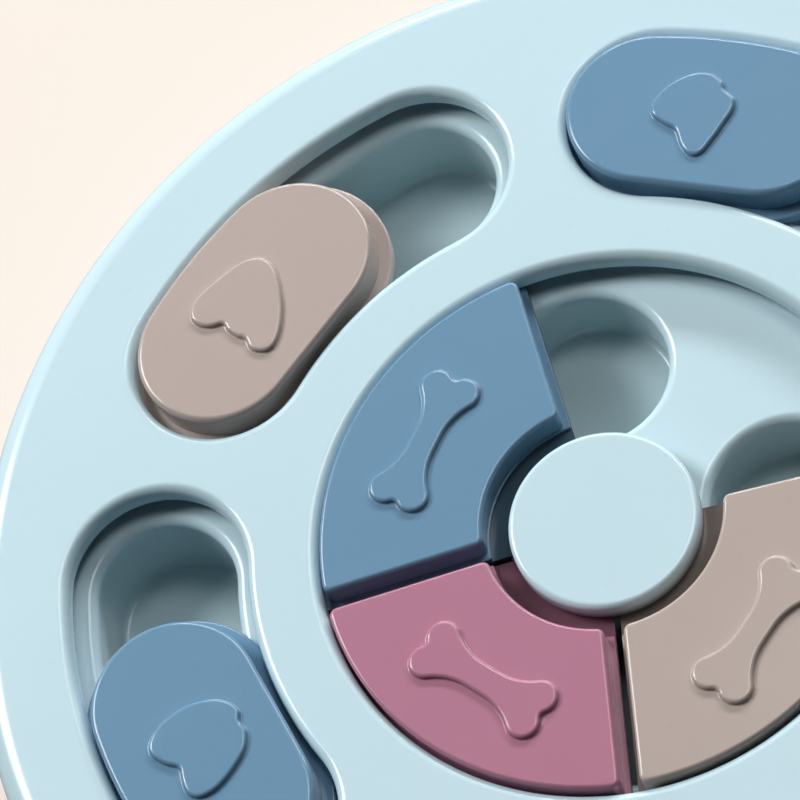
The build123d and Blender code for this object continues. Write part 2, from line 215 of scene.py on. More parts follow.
# each tile's sector from TILE_START on, its colour, and how far its bone is shifted round the board and turned
TILE_START = 99.2
TILES = ((88.0, "blue", 1.6, 3.4), (81.4, "pink", 0.35, -0.9), (94.4, "taupe", -4.65, 8.3))

# raised figures on the sliding covers, in millimetres: along the slot, and outward from the board's centre
FIGURES = {
    "pad": (
        (-7.7, 4.8), (-8.3, 2.9), (-8.0, 0.8), (-6.0, -2.4), (-3.1, -5.8), (0.3, -8.6), (4.3, -10.6),
        (7.3, -10.7), (8.7, -9.2), (9.2, -7.2), (8.8, -5.9), (8.2, -4.8), (8.5, -3.5), (8.6, -1.5),
        (8.4, 0.0), (8.0, 1.2), (8.7, 1.9), (10.2, 3.6), (10.8, 5.7), (10.3, 7.9), (8.4, 9.4),
        (5.3, 9.8), (1.8, 9.2), (-2.2, 8.2), (-5.6, 6.8),
    ),
    "heart": (
        (2.7, 8.4), (0.7, 8.3), (-1.1, 7.5), (-2.4, 6.3), (-2.9, 5.1), (-4.1, 4.3), (-5.5, 2.9),
        (-5.8, 0.7), (-5.0, -1.9), (-3.9, -5.0), (-2.6, -8.1), (-1.6, -9.9), (-0.1, -10.7), (1.8, -10.1),
        (3.4, -8.4), (4.4, -6.6), (5.2, -5.4), (6.6, -4.8), (8.8, -3.8), (10.6, -2.5), (11.1, -0.6),
        (10.6, 1.8), (9.1, 4.3), (6.8, 6.5), (4.6, 7.8),
    ),
    "wide heart": (
        (-7.5, -7.6), (-5.8, -9.4), (-4.0, -10.4), (-2.1, -10.5), (-0.6, -9.8), (1.0, -10.0), (3.1, -9.5),
        (5.1, -8.1), (6.8, -5.7), (8.2, -3.0), (9.2, -0.2), (9.4, 2.3), (8.8, 4.4), (7.1, 5.7),
        (5.1, 5.8), (3.0, 5.3), (1.3, 5.0), (0.2, 6.0), (-1.5, 7.3), (-3.7, 8.3), (-5.7, 8.1),
        (-7.3, 6.8), (-8.5, 4.8), (-9.3, 1.7), (-9.5, -1.6), (-8.8, -4.8),
    ),
}


# ---- outlines
# An outline is a closed counter-clockwise loop: its points, and at each point the unit normal that leads outward.
def arc(centre, radius, start, end, count, hollow=False):
    """Points centre + radius * (cos t, sin t), t even from start to end in degrees; hollow arcs face their centre."""
    turn = np.radians(np.linspace(start, end, count))
    ray = np.stack((np.cos(turn), np.sin(turn)), axis=1)
    return np.asarray(centre) + radius * ray, -ray if hollow else ray


def outline(*arcs):
    """Arcs laid end to end; where one ends at the next one's first point, only one of the two is kept."""
    points = np.concatenate([part[0] for part in arcs])
    normals = np.concatenate([part[1] for part in arcs])
    keep = np.linalg.norm(points - np.roll(points, -1, axis=0), axis=1) > SAME_POINT
    return points[keep], normals[keep]


def turned(loop, angle, place=(0, 0)):
    """The outline moved by place and then turned about the origin by an angle in degrees."""
    turn = radians(angle)
    matrix = np.array(((cos(turn), sin(turn)), (-sin(turn), cos(turn))))
    return (loop[0] + np.asarray(place)) @ matrix, loop[1] @ matrix


def circle(radius, count, centre=(0, 0)):
    """Full circle."""
    points, normals = arc(centre, radius, 0, 360, count + 1)
    return points[:-1], normals[:-1]


def on_ring(radius, angle):
    """Point at a radius from the origin and an angle in degrees."""
    return radius * cos(radians(angle)), radius * sin(radians(angle))


def bent_slot(angle, size, radius, half_width):
    """Slot with round ends, its centre line an arc of the given size in degrees about the origin."""
    first, last = angle - size / 2, angle + size / 2
    side = max(4, int(size))
    return outline(
        arc((0, 0), radius + half_width, first, last, side),
        arc(on_ring(radius, last), half_width, last, last + 180, 49),
        arc((0, 0), radius - half_width, last, first, side, hollow=True),
        arc(on_ring(radius, first), half_width, first + 180, first + 360, 49),
    )


def cover_loop(plan, grow):
    """Sliding cover about its own middle: straight hub side, rim side bent with the ring, round ends.

    With spread = 2 S - L / 2, the end radius is the square root of spread^2 + 2 S W - (L / 2)^2, less spread.
    """
    ring, length, width = plan.slot_radius, plan.slider_length, plan.slider_width
    spread = 2 * ring - length / 2
    end = sqrt(spread**2 + 2 * ring * width - (length / 2) ** 2) - spread
    run, shift = length / 2 - end, end - width / 2
    corner = degrees(atan2(run, ring + shift))
    return outline(
        arc((-ring, 0), ring + width / 2 + grow, -corner, corner, 41),
        arc((shift, run), end + grow, corner, 180, 49),
        arc((shift, -run), end + grow, 180, 360 - corner, 49),
    )


def sector_loop(sector, inner, outer, inset, corner):
    """Ring sector about the X axis, its sides moved in by the inset and its four corners rounded.

    A corner's centre lies inset + corner inside the side line, where the side's radius is outer - corner or
    inner + corner, so its run along the side is the square root of that radius^2 - (inset + corner)^2.
    """
    half = sector / 2
    depth = inset + corner
    along = np.array((cos(radians(half)), sin(radians(half))))
    across = np.array((-along[1], along[0]))
    far = along * sqrt((outer - corner) ** 2 - depth**2) - across * depth
    near = along * sqrt((inner + corner) ** 2 - depth**2) - across * depth
    far_turn, near_turn = (degrees(atan2(place[1], place[0])) for place in (far, near))
    flip = np.array((1, -1))
    return outline(
        arc((0, 0), outer, -far_turn, far_turn, 73),
        arc(far, corner, far_turn, half + 90, 13),
        arc(near, corner, half + 90, near_turn + 180, 13),
        arc((0, 0), inner, near_turn, -near_turn, 41, hollow=True),
        arc(near * flip, corner, 180 - near_turn, 270 - half, 13),
        arc(far * flip, corner, 270 - half, 360 - far_turn, 13),
    )


def bone_loop():
    """Bone along the X axis: four lobe circles joined by tangent hollow arcs at the waist and at each end.

    The half from the left end on is the first half turned by 180 degrees.
    """
    reach, spread, lobe, shaft, waist, notch = (value * MM for value in (11.45, 2.9, 3.3, 2.8, 12.0, 1.2))
    rise = shaft + waist
    waist_x = reach - sqrt((lobe + waist) ** 2 - (rise - spread) ** 2)
    notch_x = reach + sqrt((lobe + notch) ** 2 - spread**2)
    dip = degrees(atan2(spread, notch_x - reach))
    lean = 180 - degrees(atan2(rise - spread, waist_x - reach))
    half = outline(
        arc((notch_x, 0), notch, 180 + dip, 180 - dip, 13, hollow=True),
        arc((reach, spread), lobe, -dip, 180 - lean, 33),
        arc((waist_x, rise), waist, -lean, -90, 13, hollow=True),
        arc((-waist_x, rise), waist, -90, lean - 180, 13, hollow=True),
        arc((-reach, spread), lobe, lean, 180 + dip, 33),
    )
    return outline(half, turned(half, 180))


def spline_loop(rows, steps=14):
    """Closed cubic spline through rows of (along, outward), its parameter running with the chord length.

    Second derivatives M solve the cyclic system h0 M0 + 2 (h0 + h1) M1 + h1 M2 = 6 (slope1 - slope0), and each
    span is the cubic with those second derivatives at its ends. Normals are the slope turned by a right angle.
    """
    points = np.array(rows)[:, ::-1] * MM
    following = np.roll(points, -1, axis=0)
    chord = np.linalg.norm(following - points, axis=1)
    before = np.roll(chord, 1)
    slope = (following - points) / chord[:, None]
    count = len(points)
    system = np.diag(2 * (before + chord))
    place = np.arange(count)
    system[place, (place + 1) % count] = chord
    system[place, (place - 1) % count] = before
    bend = np.linalg.solve(system, 6 * (slope - np.roll(slope, 1, axis=0)))
    t = (np.arange(steps) / steps)[None, :, None] * chord[:, None, None]
    span = chord[:, None, None]
    start, end = bend[:, None, :], np.roll(bend, -1, axis=0)[:, None, :]
    first = slope[:, None, :] - span * (2 * start + end) / 6
    curve = points[:, None, :] + t * first + t**2 * start / 2 + t**3 * (end - start) / (6 * span)
    speed = (first + t * start + t**2 * (end - start) / (2 * span)).reshape(-1, 2)
    normal = np.stack((speed[:, 1], -speed[:, 0]), axis=1)
    curve, normal = curve.reshape(-1, 2), normal / np.linalg.norm(normal, axis=1)[:, None]
    area = np.sum(curve[:, 0] * np.roll(curve[:, 1], -1) - curve[:, 1] * np.roll(curve[:, 0], -1))
    return (curve, normal) if area > 0 else (curve[::-1], -normal[::-1])


# ---- profiles
# A profile is a list of (offset, height) rows: outward from the outline along its normals, and above the feet's plane.
def bend(corner, width, height, steps=8, rising=False):
    """Quarter ellipse that rounds a profile corner, from level to upright, or from upright to level when rising.

    Rows are corner + (width * (sin t - 1), height * (cos t - 1)), t from 0 to a quarter turn, or back. A negative
    width rounds a corner that faces inward, and a negative height one that faces down.
    """
    turn = np.linspace(0, pi / 2, steps + 1)
    if rising:
        turn = turn[::-1]
    return [(corner[0] + width * (sin(t) - 1), corner[1] + height * (cos(t) - 1)) for t in turn]


class Shell:
    """Points and faces of one closed surface, gathered sweep by sweep."""

    def __init__(self):
        self.points = []
        self.faces = []
        self.count = 0

    def sweep(self, loop, profile):
        """Carry a profile round an outline: point + normal * offset, at the height. Returns its first and last ring."""
        points, normals = loop
        offset, height = np.array(profile, dtype=float).T
        plan = points[None] + offset[:, None, None] * normals[None]
        level = np.broadcast_to(height[:, None, None], (len(height), len(points), 1))
        self.points.append(np.concatenate((plan, level), axis=2).reshape(-1, 3))
        index = self.count + np.arange(len(height) * len(points)).reshape(len(height), -1)
        self.count += index.size
        low, high = index[:-1], index[1:]
        quads = np.stack((low, np.roll(low, -1, axis=1), np.roll(high, -1, axis=1), high), axis=-1)
        self.faces.extend(quads.reshape(-1, 4).tolist())
        return index[0], index[-1]

    def fill(self, *rings):
        """Level face between rings of points: a triangle stays where its middle is inside an odd number of rings.

        That is where a line from the middle towards +X crosses an odd number of the rings' edges.
        """
        index = np.concatenate(rings)
        plan = np.concatenate(self.points)[index, :2]
        sizes = [len(ring) for ring in rings]
        ends = np.cumsum(sizes)
        following = np.arange(1, len(plan) + 1)
        following[ends - 1] = ends - sizes
        flat = [Vector(row) for row in (plan / MM).tolist()]
        corners, _, faces, sources, _, _ = delaunay_2d_cdt(flat, list(enumerate(following.tolist())), [], 0, 1e-6)
        if len(corners) != len(flat):
            raise RuntimeError("rings of a level face touch or cross")
        corner = np.array([item[0] for item in sources])[np.array(faces)]
        x, y = plan[corner].mean(axis=1).T[:, :, None]
        (x0, y0), (x1, y1) = plan.T, plan[following].T
        rise = np.where(y1 == y0, 1.0, y1 - y0)
        crosses = ((y0 > y) != (y1 > y)) & (x < x0 + (y - y0) * (x1 - x0) / rise)
        self.faces.extend(index[corner[crosses.sum(axis=1) % 2 == 1]].tolist())

    def finish(self, name):
        """One closed piece with outward faces, smooth except at corners sharper than SHARP_CORNER."""
        mesh = bpy.data.meshes.new(name)
        mesh.from_pydata(np.concatenate(self.points).tolist(), [], self.faces)
        work = bmesh.new()
        work.from_mesh(mesh)
        bmesh.ops.remove_doubles(work, verts=work.verts, dist=SAME_POINT)
        bmesh.ops.recalc_face_normals(work, faces=work.faces)
        loose = [edge for edge in work.edges if not edge.is_manifold]
        if loose:
            raise RuntimeError("%s has %d open edges" % (name, len(loose)))
        work.to_mesh(mesh)
        work.free()
        mesh.shade_smooth()
        mesh.set_sharp_from_angle(angle=SHARP_CORNER)
        piece = new_object(name, mesh)
        piece.modifiers.new("Flat faces stay flat", "WEIGHTED_NORMAL").keep_sharp = True
        return piece


def new_object(name, data):
    """Object in the scene."""
    made = bpy.data.objects.new(name, data)
    bpy.context.scene.collection.objects.link(made)
    return made


def place_piece(piece, material, body, nodes):
    """Give a piece its material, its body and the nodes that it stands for."""
    piece.data.materials.append(material)
    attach(piece, body)
    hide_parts(*nodes)


# ---- nodes
def set_inputs(tree, node, inputs):
    """Join a node's inputs, by name or number, to sockets, or set them to plain values."""
    for label, value in inputs.items():
        if isinstance(value, bpy.types.NodeSocket):
            tree.links.new(value, node.inputs[label])
        else:
            node.inputs[label].default_value = value


def new_node(tree, kind, inputs, **settings):
    """Node with its settings and its inputs."""
    node = tree.nodes.new(kind)
    for name, value in settings.items():
        setattr(node, name, value)
    set_inputs(tree, node, inputs)
    return node


def math_node(tree, operation, first, second):
    """Result of a math operation."""
    return new_node(tree, "ShaderNodeMath", {0: first, 1: second}, operation=operation).outputs[0]


def scaled(tree, value, share, base):
    """value * share + base."""
    return new_node(tree, "ShaderNodeMath", {0: value, 1: share, 2: base}, operation="MULTIPLY_ADD").outputs[0]


def mix_node(tree, factor, first, second):
    """Colour between two colours."""
    inputs = {"Factor": factor, "A": first, "B": second}
    return new_node(tree, "ShaderNodeMix", inputs, data_type="RGBA").outputs["Result"]


def noise_node(tree, place, scale, detail=2.0, roughness=0.5):
    """Noise texture on the given coordinates, its scale in bumps per metre."""
    inputs = {"Vector": place, "Scale": scale, "Detail": detail, "Roughness": roughness}
    return new_node(tree, "ShaderNodeTexNoise", inputs).outputs["Fac"]


def ramp_node(tree, value, low, high):
    """Smooth step from 0 at low to 1 at high."""
    inputs = {"Value": value, "From Min": low, "From Max": high}
    return new_node(tree, "ShaderNodeMapRange", inputs, interpolation_type="SMOOTHSTEP").outputs["Result"]


def bump_node(tree, height, distance):
    """Normal that follows a height, which is as deep as the distance in metres."""
    inputs = {"Strength": 1.0, "Distance": distance, "Height": height}
    return new_node(tree, "ShaderNodeBump", inputs).outputs["Normal"]


def new_group(name, inputs, outputs):
    """Node group, its object coordinates, and its given and result sockets, which hold numbers except for Colour."""
    group = bpy.data.node_groups.new(name, "ShaderNodeTree")
    for side, labels in (("INPUT", inputs), ("OUTPUT", outputs)):
        for label in labels:
            kind = "NodeSocketColor" if label == "Colour" else "NodeSocketFloat"
            socket = group.interface.new_socket(label, in_out=side, socket_type=kind)
            if side == "INPUT":
                socket.default_value = inputs[label]
    place = group.nodes.new("ShaderNodeTexCoord").outputs["Object"]
    return group, place, group.nodes.new("NodeGroupInput").outputs, group.nodes.new("NodeGroupOutput").inputs


def grain_group():
    """Fine even texture left by an eroded mould, over a slow ripple where the wall has cooled unevenly."""
    group, place, given, result = new_group("Mould grain", {"Grain size": 0.0004, "Ripple": 2.0}, ("Height", "Sheen"))
    ripple_scale, sheen_scale = 45.0, 75.0
    fine = noise_node(group, place, math_node(group, "DIVIDE", 1.0, given["Grain size"]), 3.0, 0.6)
    slow = noise_node(group, place, ripple_scale, 0.0)
    group.links.new(scaled(group, slow, given["Ripple"], fine), result["Height"])
    sheen = ramp_node(group, noise_node(group, place, sheen_scale, 1.0), 0.25, 0.75)
    group.links.new(sheen, result["Sheen"])
    return group


def drift_group():
    """Slow change of shade from flow and wall thickness, with faint darker specks of regrind."""
    group, place, given, result = new_group(
        "Pigment drift", {"Colour": (0.8, 0.8, 0.8, 1), "Drift": 0.04, "Specks": 0.05}, ("Colour",)
    )
    flow_scale, cloud_scale, cloud_share, speck_scale = 14.0, 420.0, 0.35, 260.0
    flow = math_node(group, "SUBTRACT", noise_node(group, place, flow_scale), 0.5)
    cloud = math_node(group, "SUBTRACT", noise_node(group, place, cloud_scale), 0.5)
    level = scaled(group, scaled(group, cloud, cloud_share, flow), given["Drift"], 1.0)
    cells = new_node(group, "ShaderNodeTexVoronoi", {"Vector": place, "Scale": speck_scale})
    speck = ramp_node(group, cells.outputs["Distance"], 0.09, 0.04)
    level = math_node(group, "SUBTRACT", level, math_node(group, "MULTIPLY", speck, given["Specks"]))
    shaded = new_node(group, "ShaderNodeVectorMath", {0: given["Colour"], "Scale": level}, operation="SCALE")
    group.links.new(shaded.outputs["Vector"], result["Colour"])
    return group


def wear_group():
    """Hairline scuffs from kibble, claws and washing: long thin streaks in three directions, in patches."""
    group, place, given, result = new_group("Hairline scuffs", {"Amount": 0.5}, ("Mask",))
    patch_scale, streak_scale, directions = 38.0, (120, 2600, 120), (17, 74, 141)
    patches = ramp_node(group, noise_node(group, place, patch_scale), 0.5, 0.72)
    total = 0.0
    for turn in directions:
        inputs = {"Vector": place, "Rotation": (0, 0, radians(turn)), "Scale": streak_scale}
        lines = new_node(group, "ShaderNodeMapping", inputs).outputs["Vector"]
        streak = ramp_node(group, noise_node(group, lines, 1.0, 1.0), 0.7, 0.78)
        total = math_node(group, "MAXIMUM", total, streak)
    mask = math_node(group, "MULTIPLY", total, patches)
    group.links.new(math_node(group, "MULTIPLY", mask, given["Amount"]), result["Mask"])
    return group


GROUPS = {"Mould grain": grain_group, "Pigment drift": drift_group, "Hairline scuffs": wear_group}


def add_group(tree, name, inputs):
    """Outputs of a shared group, which is built when it is first asked for."""
    group = bpy.data.node_groups.get(name) or GROUPS[name]()
    return new_node(tree, "ShaderNodeGroup", inputs, node_tree=group).outputs


# ---- materials
def new_material(name):
    """Node material that holds its output and Principled BSDF, joined."""
    material = bpy.data.materials.new(name)
    material.use_nodes = True
    tree = material.node_tree
    tree.nodes.clear()
    output = tree.nodes.new("ShaderNodeOutputMaterial")
    shader = tree.nodes.new("ShaderNodeBsdfPrincipled")
    tree.links.new(shader.outputs["BSDF"], output.inputs["Surface"])
    return material, tree, shader


def moulded_plastic(name, colour, scuffs=0.15, painted_shade=None):
    """Satin injection-moulded plastic: pigment drift, mould grain, uneven sheen and hairline scuffs.

    Painted shade, where there is one, darkens the colour from its top height down to its bottom height.
    """
    found = bpy.data.materials.get(name)
    if found:
        return found
    finish = bpy.context.scene.feeder_finish
    material, tree, shader = new_material(name)
    shade = add_group(tree, "Pigment drift", {"Colour": (*colour, 1), "Drift": 0.05})["Colour"]
    grain = add_group(tree, "Mould grain", {"Grain size": finish.grain_size})
    worn = add_group(tree, "Hairline scuffs", {"Amount": scuffs})["Mask"]
    # painted shade: the colour blends towards a darker shade colour further down, standing in for shade in hollows
    if painted_shade:
        top, bottom, shade_colour = painted_shade
        place = tree.nodes.new("ShaderNodeTexCoord").outputs["Object"]
        height = new_node(tree, "ShaderNodeSeparateXYZ", {"Vector": place}).outputs["Z"]
        shade = mix_node(tree, ramp_node(tree, height, top, bottom), shade, (*shade_colour, 1))
    worn_pale, worn_rough, worn_deep, uneven = 0.04, 0.1, -0.3, 0.03
    rough = scaled(tree, grain["Sheen"], uneven, finish.plastic_roughness)
    set_inputs(tree, shader, {
        "Base Color": mix_node(tree, math_node(tree, "MULTIPLY", worn, worn_pale), shade, (0.9, 0.9, 0.9, 1)),
        "Roughness": scaled(tree, worn, worn_rough, rough),
        "Normal": bump_node(tree, scaled(tree, worn, worn_deep, grain["Height"]), finish.grain_depth),
        "IOR": 1.49,
    })
    return material


def mottled(name, colour, drift, specks, grain_size, ripple, depth, roughness, uneven, metallic=0.0):
    """Material with pigment drift and mould grain, and uneven * the grain's sheen added to its roughness."""
    material, tree, shader = new_material(name)
    pigment = add_group(tree, "Pigment drift", {"Colour": (*colour, 1), "Drift": drift, "Specks": specks})
    grain = add_group(tree, "Mould grain", {"Grain size": grain_size, "Ripple": ripple})
    set_inputs(tree, shader, {
        "Base Color": pigment["Colour"],
        "Roughness": scaled(tree, grain["Sheen"], uneven, roughness),
        "Normal": bump_node(tree, grain["Height"], depth),
        "Metallic": metallic,
    })
    return material


def foot_rubber(colour):
    """Soft rubber: matt, slightly mottled, with a leathery grain and dust picked up on its face."""
    return mottled(
        "Foot rubber", colour, drift=0.22, specks=0.2, grain_size=0.6 * MM, ripple=0.8, depth=0.04 * MM,
        roughness=0.68, uneven=0.15,
    )


def zinc_steel(colour):
    """Zinc-plated steel: metallic, with a cloudy plating and fine turning marks."""
    return mottled(
        "Zinc-plated steel", colour, drift=0.3, specks=0.15, grain_size=0.15 * MM, ripple=1.0, depth=0.01 * MM,
        roughness=0.28, uneven=0.2, metallic=1.0,
    )


# ---- operators
def settings(context):
    """Heights, plan and finish."""
    return context.scene.feeder_heights, context.scene.feeder_plan, context.scene.feeder_finish


class FEEDER_OT_stage(bpy.types.Operator):
    """Set the camera, the floor and the lamps"""

    bl_idname = "feeder.stage"
    bl_label = "Set the stage"

    def execute(self, context):
        scene, stage = context.scene, context.scene.feeder_stage
        data = bpy.data.cameras.new("camera")
        camera = new_object("camera", data)
        data.lens = stage.camera_lens
        data.sensor_width = 36
        back = Vector((
            cos(stage.camera_height) * cos(stage.camera_turn),
            cos(stage.camera_height) * sin(stage.camera_turn),
            sin(stage.camera_height),
        ))
        turn = (-back).to_track_quat("-Z", "Y").to_matrix() @ Matrix.Rotation(stage.camera_roll, 3, "Z")
        place = Vector(stage.camera_aim) + back * stage.camera_distance
        camera.matrix_world = Matrix.Translation(place) @ turn.to_4x4()
        scene.camera = camera
        scene.view_settings.view_transform = "Standard"
        self.floor(stage)
        self.sky(stage)
        for kind in ("key", "strip", "top", "under"):
            self.lamp(kind + "_lamp", *[getattr(stage, kind + part) for part in ("_place", "_size", "_power")])
        return {"FINISHED"}

    def sky(self, stage):
        """Weak even light, which the camera sees in the floor's colour above the floor's far edge."""
        world = bpy.data.worlds.new("world")
        bpy.context.scene.world = world
        world.use_nodes = True
        tree = world.node_tree
        seen_level = 0.8
        light = (*[value * stage.world_level for value in stage.world_tint], 1)
        seen = (*[value * seen_level for value in stage.floor], 1)
        camera_ray = tree.nodes.new("ShaderNodeLightPath").outputs["Is Camera Ray"]
        set_inputs(tree, tree.nodes["Background"], {"Strength": 1.0, "Color": mix_node(tree, camera_ray, light, seen)})

    def lamp(self, name, place, size, power):
        """Rectangular lamp that faces the middle of the board."""
        data = bpy.data.lights.new(name, "AREA")
        data.shape = "RECTANGLE"
        data.size, data.size_y = size
        data.energy = power
        lamp = new_object(name, data)
        lamp.location = place
        lamp.rotation_mode = "QUATERNION"
        lamp.rotation_quaternion = (-Vector(place)).to_track_quat("-Z", "Y")

    def floor(self, stage):
        """Plain floor that shows its own colour and takes a soft shadow; light and views from below pass through."""
        half, level, lit_share, seen_share = 4.0, -0.1 * MM, 0.3, 0.64
        mesh = bpy.data.meshes.new("floor")
        corners = [(x * half, y * half, level) for x, y in ((-1, -1), (1, -1), (1, 1), (-1, 1))]
        mesh.from_pydata(corners, [], [(0, 1, 2, 3)])
        floor = new_object("floor", mesh)
        material, tree, shader = new_material("Floor")
        path = tree.nodes.new("ShaderNodeLightPath").outputs
        set_inputs(tree, shader, {
            "Base Color": (*[value * lit_share for value in stage.floor], 1),
            "Roughness": 0.9,
            "Emission Color": (*stage.floor, 1),
            "Emission Strength": math_node(tree, "MULTIPLY", path["Is Camera Ray"], seen_share),
        })
        below = tree.nodes.new("ShaderNodeNewGeometry").outputs["Backfacing"]
        clear = tree.nodes.new("ShaderNodeBsdfTransparent").outputs["BSDF"]
        passing = math_node(tree, "MAXIMUM", below, path["Is Shadow Ray"])
        surface = new_node(tree, "ShaderNodeMixShader", {"Fac": passing, 1: shader.outputs["BSDF"], 2: clear})
        tree.links.new(surface.outputs["Shader"], tree.nodes["Material Output"].inputs["Surface"])
        mesh.materials.append(material)


class FEEDER_OT_top_cover(bpy.types.Operator):
    """Slotted deck with its round recess, rounded rim, skirt, ribs and screw bosses"""

    bl_idname = "feeder.top_cover"
    bl_label = "Top cover"

    def execute(self, context):
        high, plan, finish = settings(context)
        shell = Shell()
        rim, lip, inside, edge, break_edge = plan.rim_fillet, plan.lip_fillet, -plan.skirt_wall, 0.5 * MM, 0.15 * MM
        outer, under = shell.sweep(circle(plan.outer_radius, 360), [
            *bend((0, high.deck_top), rim, rim, 14),
            *bend((0, high.skirt_bottom), edge, -edge, 3, True),
            *bend((inside, high.skirt_bottom), -edge, -edge, 3),
            (inside, high.deck_under),
        ])
        tops, unders = [outer], [under]
        loops = [bent_slot(angle, SLOT_ARC, plan.slot_radius, plan.slot_half_width) for angle in SLOT_ANGLES]
        for loop in (circle(plan.recess_radius, 240), *loops):
            top, low = shell.sweep(loop, [
                *bend((0, high.deck_top), -lip, lip, 9), (0, high.deck_under + break_edge),
                (break_edge, high.deck_under),
            ])
            tops.append(top)
            unders.append(low)
        for radius in (plan.inner_rib, plan.outer_rib):
            unders += shell.sweep(circle(radius, 180), [
                (0, high.deck_under), (0, high.tray_top), (plan.wall, high.tray_top), (plan.wall, high.deck_under),
            ])
        core = plan.screw_core - plan.boss_radius
        for angle in BOSS_ANGLES:
            top, bore = shell.sweep(circle(plan.boss_radius, 32, on_ring(plan.boss_circle, angle)), [
                (0, high.deck_under), (0, high.tray_top), (core, high.tray_top), (core, high.boss_hole_end),
            ])
            unders.append(top)
            shell.fill(bore)
        shell.fill(*tops)
        shell.fill(*unders)
        place_piece(
            shell.finish("slotted_cover"), moulded_plastic("Pale blue plastic", finish.pale), "base",
            ["top_cover"],
        )
        return {"FINISHED"}


class FEEDER_OT_cup_tray(bpy.types.Operator):
    """Tray with five outer cups, four round inner cups, the post and the screw holes"""

    bl_idname = "feeder.cup_tray"
    bl_label = "Cup tray"

    def cup(self, shell, loop, floor, underside, high, plan):
        """Rounded rim, upright wall, floor fillet and shell; returns the rings of its rim and of the shell's ends."""
        fillet, corner, wall, round_off = plan.cup_fillet, 1.2 * MM, plan.cup_wall, 2.0 * MM
        rim, low = shell.sweep(loop, [
            *bend((0, high.tray_top), -fillet, fillet, 9), *bend((0, floor), corner, -corner, 5, True),
        ])
        shell.fill(low)
        return rim, *shell.sweep(loop, [
            (wall, high.tray_under), *bend((wall, underside), round_off, -round_off, 6, True),
        ])

    def execute(self, context):
        high, plan, finish = settings(context)
        shell = Shell()
        inside, edge = -plan.tray_edge, 0.4 * MM
        outer, under = shell.sweep(circle(plan.tray_radius, 288), [
            *bend((0, high.tray_top), edge, edge, 3),
            (0, high.tray_bottom + edge), (-edge, high.tray_bottom), (inside + edge, high.tray_bottom),
            (inside, high.tray_bottom + edge), (inside, high.tray_under),
        ])
        tops, unders = [outer], [under]
        for angle in CUP_ANGLES:
            loop = bent_slot(angle, CUP_ARC, plan.slot_radius, plan.cup_half_width)
            rim, foot, base = self.cup(shell, loop, high.outer_floor, high.cup_underside, high, plan)
            tops.append(rim)
            unders.append(foot)
            seat, bottom = shell.sweep(circle(plan.foot_radius, 48, on_ring(plan.slot_radius, angle)), [
                (0, high.cup_underside), (0, high.cup_underside + plan.foot_seat),
            ])
            shell.fill(base, seat)
            shell.fill(bottom)
        for angle in (0, 90, 180, 270):
            loop = circle(plan.inner_cup_radius, 120, on_ring(plan.inner_cup_ring, angle))
            rim, foot, base = self.cup(shell, loop, high.inner_floor, high.inner_underside, high, plan)
            tops.append(rim)
            unders.append(foot)
            shell.fill(base)
        for angle in BOSS_ANGLES:
            loop = circle(plan.screw_hole, 24, on_ring(plan.boss_circle, angle))
            top, low = shell.sweep(loop, [(0, high.tray_top), (0, high.tray_under)])
            tops.append(top)
            unders.append(low)
        bore, hole, edge = plan.post_bore - plan.post_radius, plan.screw_hole - plan.post_radius, 0.3 * MM
        top, low = shell.sweep(circle(plan.post_radius, 64), [
            (0, high.tray_top), (0, high.post_top - edge), (-edge, high.post_top), (bore, high.post_top),
            (bore, high.tray_top), (hole, high.tray_top), (hole, high.tray_under),
        ])
        shell.fill(*tops, top)
        shell.fill(*unders, low)
        # painted shade: the plastic turns greyer and darker over the first few millimetres down into the cups
        painted_shade_depth = 4 * MM
        painted_shade = high.tray_top, high.tray_top - painted_shade_depth, finish.painted_shade
        bays = ["outer_bay_%d" % number for number in range(1, 6)]
        bays += ["inner_bay_%d" % number for number in range(1, 5)]
        place_piece(
            shell.finish("cup_tray"), moulded_plastic("Pale blue tray plastic", finish.pale, scuffs=0.2, painted_shade=painted_shade),
            "base", bays,
        )
        return {"FINISHED"}


def eased(loop, edge):
    """The outline with shorter normals where it turns tightly, so that an edge that wide doesn't fold there.

    The turn per length is the cross product of the two neighbours' normals over their distance. Each normal is cut
    to the limit / (turn per length * edge), then to the least of its neighbours, and the lengths are averaged.
    """
    limit, least, reach = 0.7, 0.15, 5
    points, normals = loop
    before, after = np.roll(normals, 1, axis=0), np.roll(normals, -1, axis=0)
    gap = np.linalg.norm(np.roll(points, -1, axis=0) - np.roll(points, 1, axis=0), axis=1)
    turn = (before[:, 0] * after[:, 1] - before[:, 1] * after[:, 0]) / gap
    length = np.clip(limit / np.maximum(turn * edge, 1e-6), least, 1.0)
    for smooth in (np.min, np.mean):
        length = smooth([np.roll(length, step) for step in range(-reach, reach + 1)], axis=0)
    return points, normals * length[:, None]


def raised_figure(shell, loop, base, height, spread):
    """Figure that rises from its base with a root fillet and a rounded edge; returns its two rings.

    Both are quarter ellipses: the root goes from the base up to 0.35 of the height, the edge from there to the top.
    The spread is how far the root's foot lies outside the outline.
    """
    foot, edge, root = 0.35 * MM, 0.8 * MM, 0.35
    low, high = np.linspace(0, pi / 2, 5), np.linspace(0, pi / 2, 9)[1:]
    rows = [(spread - foot * sin(t), base + root * height * (1 - cos(t))) for t in low]
    rows += [(spread - foot - edge * (1 - cos(t)), base + height * (root + (1 - root) * sin(t))) for t in high]
    return shell.sweep(eased(loop, edge), rows)


